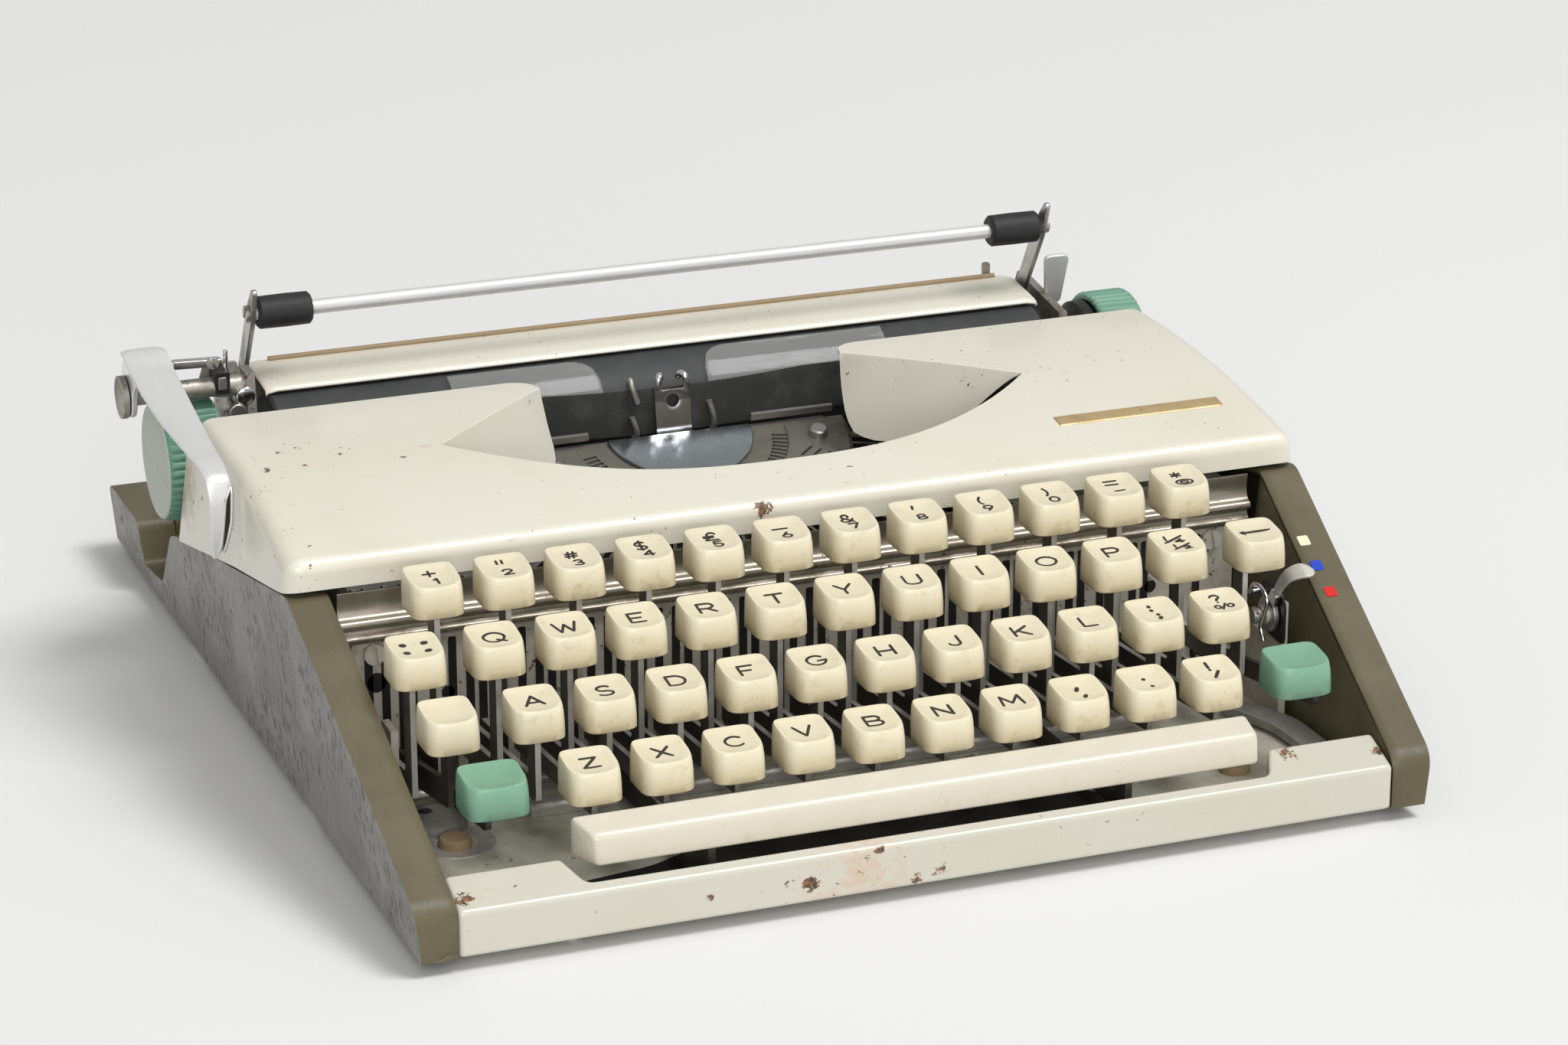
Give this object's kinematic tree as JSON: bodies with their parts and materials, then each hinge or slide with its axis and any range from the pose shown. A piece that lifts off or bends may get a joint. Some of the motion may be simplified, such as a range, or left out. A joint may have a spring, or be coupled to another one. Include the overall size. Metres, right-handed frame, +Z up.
{
  "type": "portable typewriter",
  "caption": "Low portable manual typewriter with sculpted keys, a crowned ribbon cover open over the type basket, a sliding carriage with platen, bail and return lever, and leaning side panels.",
  "frame": {"origin": "middle of the body's footprint on the table, under the feet", "axes": "+Z up, +Y from the keyboard to the carriage, +X along the carriage to the typist's right"},
  "size_m": [0.312, 0.318, 0.1103],
  "materials": {
    "cream_enamel": "gloss enamel, chipped and speckled",
    "olive_enamel": "satin enamel, scuffed",
    "ivory_plastic": "moulded, grimy at the edges",
    "green_plastic": "moulded",
    "bright_chrome": "polished",
    "bare_steel": "satin, lightly tarnished",
    "dark_steel": "dark, oiled",
    "black_rubber": "matt",
    "ink_ribbon": "inked woven band",
    "brass_drum": "tarnished"
  },
  "bodies": {
    "chassis": {"left_side_panel": "olive_enamel", "right_side_panel": "olive_enamel", "front_panel": "cream_enamel", "base_plate": "bare_steel", "rear_deck": "olive_enamel", "rubber_feet": "black_rubber", "main_frame": "bare_steel", "key_fulcrum_rod": "bare_steel", "carriage_rails": "bare_steel", "ribbon": "ink_ribbon"},
    "key_q": {"key_q": "ivory_plastic"},
    "key_w": {"key_w": "ivory_plastic"},
    "key_e": {"key_e": "ivory_plastic"},
    "key_r": {"key_r": "ivory_plastic"},
    "key_t": {"key_t": "ivory_plastic"},
    "key_y": {"key_y": "ivory_plastic"},
    "key_u": {"key_u": "ivory_plastic"},
    "key_i": {"key_i": "ivory_plastic"},
    "key_o": {"key_o": "ivory_plastic"},
    "key_p": {"key_p": "ivory_plastic"},
    "key_a": {"key_a": "ivory_plastic"},
    "key_s": {"key_s": "ivory_plastic"},
    "key_d": {"key_d": "ivory_plastic"},
    "key_f": {"key_f": "ivory_plastic"},
    "key_g": {"key_g": "ivory_plastic"},
    "key_h": {"key_h": "ivory_plastic"},
    "key_j": {"key_j": "ivory_plastic"},
    "key_k": {"key_k": "ivory_plastic"},
    "key_l": {"key_l": "ivory_plastic"},
    "key_z": {"key_z": "ivory_plastic"},
    "key_x": {"key_x": "ivory_plastic"},
    "key_c": {"key_c": "ivory_plastic"},
    "key_v": {"key_v": "ivory_plastic"},
    "key_b": {"key_b": "ivory_plastic"},
    "key_n": {"key_n": "ivory_plastic"},
    "key_m": {"key_m": "ivory_plastic"},
    "margin_release": {"margin_release_key": "ivory_plastic"},
    "backspace": {"backspace_key": "ivory_plastic"},
    "figures": {"figure_keys": "ivory_plastic"},
    "shift": {"shift_keys": "green_plastic"},
    "basket": {"type_segment": "dark_steel", "typebars": "dark_steel", "type_guide": "bright_chrome"},
    "shift_lock": {"shift_lock_key": "ivory_plastic"},
    "space": {"space_bar": "ivory_plastic"},
    "vibrator": {"ribbon_vibrator": "bright_chrome"},
    "cover": {"ribbon_cover": "cream_enamel"},
    "selector": {"ribbon_selector": "bright_chrome"},
    "left_spool": {"left_ribbon_spool": "dark_steel"},
    "right_spool": {"right_ribbon_spool": "dark_steel"},
    "mainspring": {"mainspring_drum": "brass_drum"},
    "carriage": {"carriage_frame": "bare_steel", "paper_table": "cream_enamel"},
    "platen_roll": {"platen": "black_rubber", "platen_knobs": "green_plastic", "line_space_ratchet": "bare_steel"},
    "bail": {"paper_bail": "bright_chrome"},
    "bail_rolls": {"bail_rollers": "black_rubber"},
    "return_arm": {"return_lever": "bright_chrome"},
    "paper_release": {"paper_release_lever": "bright_chrome"}
  },
  "joints": [
    {"name": "press_q", "type": "hinge", "parent": "chassis", "child": "key_q", "pos_m": [0, 0.0458, 0.018], "axis": [1, 0, 0], "range_deg": [0, 3.51], "stiffness_Nm_per_rad": 0.6, "springref_deg": -11.46},
    {"name": "press_w", "type": "hinge", "parent": "chassis", "child": "key_w", "pos_m": [0, 0.0458, 0.018], "axis": [1, 0, 0], "range_deg": [0, 3.51], "stiffness_Nm_per_rad": 0.6, "springref_deg": -11.46},
    {"name": "press_e", "type": "hinge", "parent": "chassis", "child": "key_e", "pos_m": [0, 0.0458, 0.018], "axis": [1, 0, 0], "range_deg": [0, 3.51], "stiffness_Nm_per_rad": 0.6, "springref_deg": -11.46},
    {"name": "press_r", "type": "hinge", "parent": "chassis", "child": "key_r", "pos_m": [0, 0.0458, 0.018], "axis": [1, 0, 0], "range_deg": [0, 3.51], "stiffness_Nm_per_rad": 0.6, "springref_deg": -11.46},
    {"name": "press_t", "type": "hinge", "parent": "chassis", "child": "key_t", "pos_m": [0, 0.0458, 0.018], "axis": [1, 0, 0], "range_deg": [0, 3.51], "stiffness_Nm_per_rad": 0.6, "springref_deg": -11.46},
    {"name": "press_y", "type": "hinge", "parent": "chassis", "child": "key_y", "pos_m": [0, 0.0458, 0.018], "axis": [1, 0, 0], "range_deg": [0, 3.51], "stiffness_Nm_per_rad": 0.6, "springref_deg": -11.46},
    {"name": "press_u", "type": "hinge", "parent": "chassis", "child": "key_u", "pos_m": [0, 0.0458, 0.018], "axis": [1, 0, 0], "range_deg": [0, 3.51], "stiffness_Nm_per_rad": 0.6, "springref_deg": -11.46},
    {"name": "press_i", "type": "hinge", "parent": "chassis", "child": "key_i", "pos_m": [0, 0.0458, 0.018], "axis": [1, 0, 0], "range_deg": [0, 3.51], "stiffness_Nm_per_rad": 0.6, "springref_deg": -11.46},
    {"name": "press_o", "type": "hinge", "parent": "chassis", "child": "key_o", "pos_m": [0, 0.0458, 0.018], "axis": [1, 0, 0], "range_deg": [0, 3.51], "stiffness_Nm_per_rad": 0.6, "springref_deg": -11.46},
    {"name": "press_p", "type": "hinge", "parent": "chassis", "child": "key_p", "pos_m": [0, 0.0458, 0.018], "axis": [1, 0, 0], "range_deg": [0, 3.51], "stiffness_Nm_per_rad": 0.6, "springref_deg": -11.46},
    {"name": "press_a", "type": "hinge", "parent": "chassis", "child": "key_a", "pos_m": [0, 0.0458, 0.018], "axis": [1, 0, 0], "range_deg": [0, 3.15], "stiffness_Nm_per_rad": 0.6, "springref_deg": -11.46},
    {"name": "press_s", "type": "hinge", "parent": "chassis", "child": "key_s", "pos_m": [0, 0.0458, 0.018], "axis": [1, 0, 0], "range_deg": [0, 3.15], "stiffness_Nm_per_rad": 0.6, "springref_deg": -11.46},
    {"name": "press_d", "type": "hinge", "parent": "chassis", "child": "key_d", "pos_m": [0, 0.0458, 0.018], "axis": [1, 0, 0], "range_deg": [0, 3.15], "stiffness_Nm_per_rad": 0.6, "springref_deg": -11.46},
    {"name": "press_f", "type": "hinge", "parent": "chassis", "child": "key_f", "pos_m": [0, 0.0458, 0.018], "axis": [1, 0, 0], "range_deg": [0, 3.15], "stiffness_Nm_per_rad": 0.6, "springref_deg": -11.46},
    {"name": "press_g", "type": "hinge", "parent": "chassis", "child": "key_g", "pos_m": [0, 0.0458, 0.018], "axis": [1, 0, 0], "range_deg": [0, 3.15], "stiffness_Nm_per_rad": 0.6, "springref_deg": -11.46},
    {"name": "press_h", "type": "hinge", "parent": "chassis", "child": "key_h", "pos_m": [0, 0.0458, 0.018], "axis": [1, 0, 0], "range_deg": [0, 3.15], "stiffness_Nm_per_rad": 0.6, "springref_deg": -11.46},
    {"name": "press_j", "type": "hinge", "parent": "chassis", "child": "key_j", "pos_m": [0, 0.0458, 0.018], "axis": [1, 0, 0], "range_deg": [0, 3.15], "stiffness_Nm_per_rad": 0.6, "springref_deg": -11.46},
    {"name": "press_k", "type": "hinge", "parent": "chassis", "child": "key_k", "pos_m": [0, 0.0458, 0.018], "axis": [1, 0, 0], "range_deg": [0, 3.15], "stiffness_Nm_per_rad": 0.6, "springref_deg": -11.46},
    {"name": "press_l", "type": "hinge", "parent": "chassis", "child": "key_l", "pos_m": [0, 0.0458, 0.018], "axis": [1, 0, 0], "range_deg": [0, 3.15], "stiffness_Nm_per_rad": 0.6, "springref_deg": -11.46},
    {"name": "press_z", "type": "hinge", "parent": "chassis", "child": "key_z", "pos_m": [0, 0.0458, 0.018], "axis": [1, 0, 0], "range_deg": [0, 2.86], "stiffness_Nm_per_rad": 0.6, "springref_deg": -11.46},
    {"name": "press_x", "type": "hinge", "parent": "chassis", "child": "key_x", "pos_m": [0, 0.0458, 0.018], "axis": [1, 0, 0], "range_deg": [0, 2.86], "stiffness_Nm_per_rad": 0.6, "springref_deg": -11.46},
    {"name": "press_c", "type": "hinge", "parent": "chassis", "child": "key_c", "pos_m": [0, 0.0458, 0.018], "axis": [1, 0, 0], "range_deg": [0, 2.86], "stiffness_Nm_per_rad": 0.6, "springref_deg": -11.46},
    {"name": "press_v", "type": "hinge", "parent": "chassis", "child": "key_v", "pos_m": [0, 0.0458, 0.018], "axis": [1, 0, 0], "range_deg": [0, 2.86], "stiffness_Nm_per_rad": 0.6, "springref_deg": -11.46},
    {"name": "press_b", "type": "hinge", "parent": "chassis", "child": "key_b", "pos_m": [0, 0.0458, 0.018], "axis": [1, 0, 0], "range_deg": [0, 2.86], "stiffness_Nm_per_rad": 0.6, "springref_deg": -11.46},
    {"name": "press_n", "type": "hinge", "parent": "chassis", "child": "key_n", "pos_m": [0, 0.0458, 0.018], "axis": [1, 0, 0], "range_deg": [0, 2.86], "stiffness_Nm_per_rad": 0.6, "springref_deg": -11.46},
    {"name": "press_m", "type": "hinge", "parent": "chassis", "child": "key_m", "pos_m": [0, 0.0458, 0.018], "axis": [1, 0, 0], "range_deg": [0, 2.86], "stiffness_Nm_per_rad": 0.6, "springref_deg": -11.46},
    {"name": "press_margin_release", "type": "hinge", "parent": "chassis", "child": "margin_release", "pos_m": [0, 0.0458, 0.018], "axis": [1, 0, 0], "range_deg": [0, 3.51], "stiffness_Nm_per_rad": 0.6, "springref_deg": -11.46},
    {"name": "press_backspace", "type": "hinge", "parent": "chassis", "child": "backspace", "pos_m": [0, 0.0458, 0.018], "axis": [1, 0, 0], "range_deg": [0, 3.51], "stiffness_Nm_per_rad": 0.6, "springref_deg": -11.46},
    {"name": "press_figures", "type": "hinge", "parent": "chassis", "child": "figures", "pos_m": [0, 0.0458, 0.018], "axis": [1, 0, 0], "range_deg": [0, 2.9], "stiffness_Nm_per_rad": 8, "springref_deg": -11.46},
    {"name": "press_shift", "type": "hinge", "parent": "chassis", "child": "shift", "pos_m": [0, -0.009, 0.009], "axis": [1, 0, 0], "range_deg": [0, 3.1], "stiffness_Nm_per_rad": 5, "springref_deg": -14.32},
    {"name": "basket_drop", "type": "slide", "parent": "chassis", "child": "basket", "axis": [0, 0, -1], "range_m": [0, 0.0066]},
    {"name": "press_shift_lock", "type": "hinge", "parent": "chassis", "child": "shift_lock", "pos_m": [0, -0.009, 0.009], "axis": [1, 0, 0], "range_deg": [0, 2.8], "stiffness_Nm_per_rad": 0.6, "springref_deg": -11.46},
    {"name": "press_space", "type": "hinge", "parent": "chassis", "child": "space", "pos_m": [0, -0.071, 0.009], "axis": [1, 0, 0], "range_deg": [0, 3], "stiffness_Nm_per_rad": 1.5, "springref_deg": -11.46},
    {"name": "ribbon_lift", "type": "slide", "parent": "chassis", "child": "vibrator", "axis": [0, 0, 1], "range_m": [0, 0.009]},
    {"name": "cover_lift", "type": "slide", "parent": "chassis", "child": "cover", "axis": [0, -0.6, 0.8], "range_m": [0, 0.06]},
    {"name": "ribbon_colour", "type": "hinge", "parent": "chassis", "child": "selector", "pos_m": [0.1222, -0.09459, 0.03622], "axis": [1, 0, 0], "range_deg": [-28, 28]},
    {"name": "left_spool_turn", "type": "hinge", "parent": "chassis", "child": "left_spool", "pos_m": [-0.102, -0.0072, 0.0667], "axis": [0, 0, 1], "continuous": true},
    {"name": "right_spool_turn", "type": "hinge", "parent": "chassis", "child": "right_spool", "pos_m": [0.102, -0.0072, 0.0667], "axis": [0, 0, 1], "continuous": true},
    {"name": "mainspring_turn", "type": "hinge", "parent": "chassis", "child": "mainspring", "pos_m": [-0.085, 0.141, 0.012], "axis": [0, 0, 1], "continuous": true},
    {"name": "carriage_slide", "type": "slide", "parent": "chassis", "child": "carriage", "axis": [1, 0, 0], "range_m": [-0.1, 0]},
    {"name": "platen_turn", "type": "hinge", "parent": "carriage", "child": "platen_roll", "pos_m": [0.004, 0.0643, 0.061], "axis": [1, 0, 0], "continuous": true},
    {"name": "bail_swing", "type": "hinge", "parent": "carriage", "child": "bail", "pos_m": [0.004, 0.0825, 0.0726], "axis": [1, 0, 0], "range_deg": [0, 52]},
    {"name": "bail_roll_turn", "type": "hinge", "parent": "bail", "child": "bail_rolls", "pos_m": [0.004, 0.06585, 0.10144], "axis": [1, 0, 0], "continuous": true},
    {"name": "return_raise", "type": "hinge", "parent": "carriage", "child": "return_arm", "pos_m": [-0.153, 0.0598, 0.0825], "axis": [-1, 0, 0], "range_deg": [0, 40]},
    {"name": "paper_release_pull", "type": "hinge", "parent": "carriage", "child": "paper_release", "pos_m": [0.1298, 0.0808, 0.058], "axis": [1, 0, 0], "range_deg": [0, 20]}
  ],
  "couplings": [
    {"joint": "basket_drop", "follows": "press_shift", "m_per_rad": 0.12},
    {"joint": "mainspring_turn", "follows": "carriage_slide", "rad_per_m": 71.4}
  ]
}
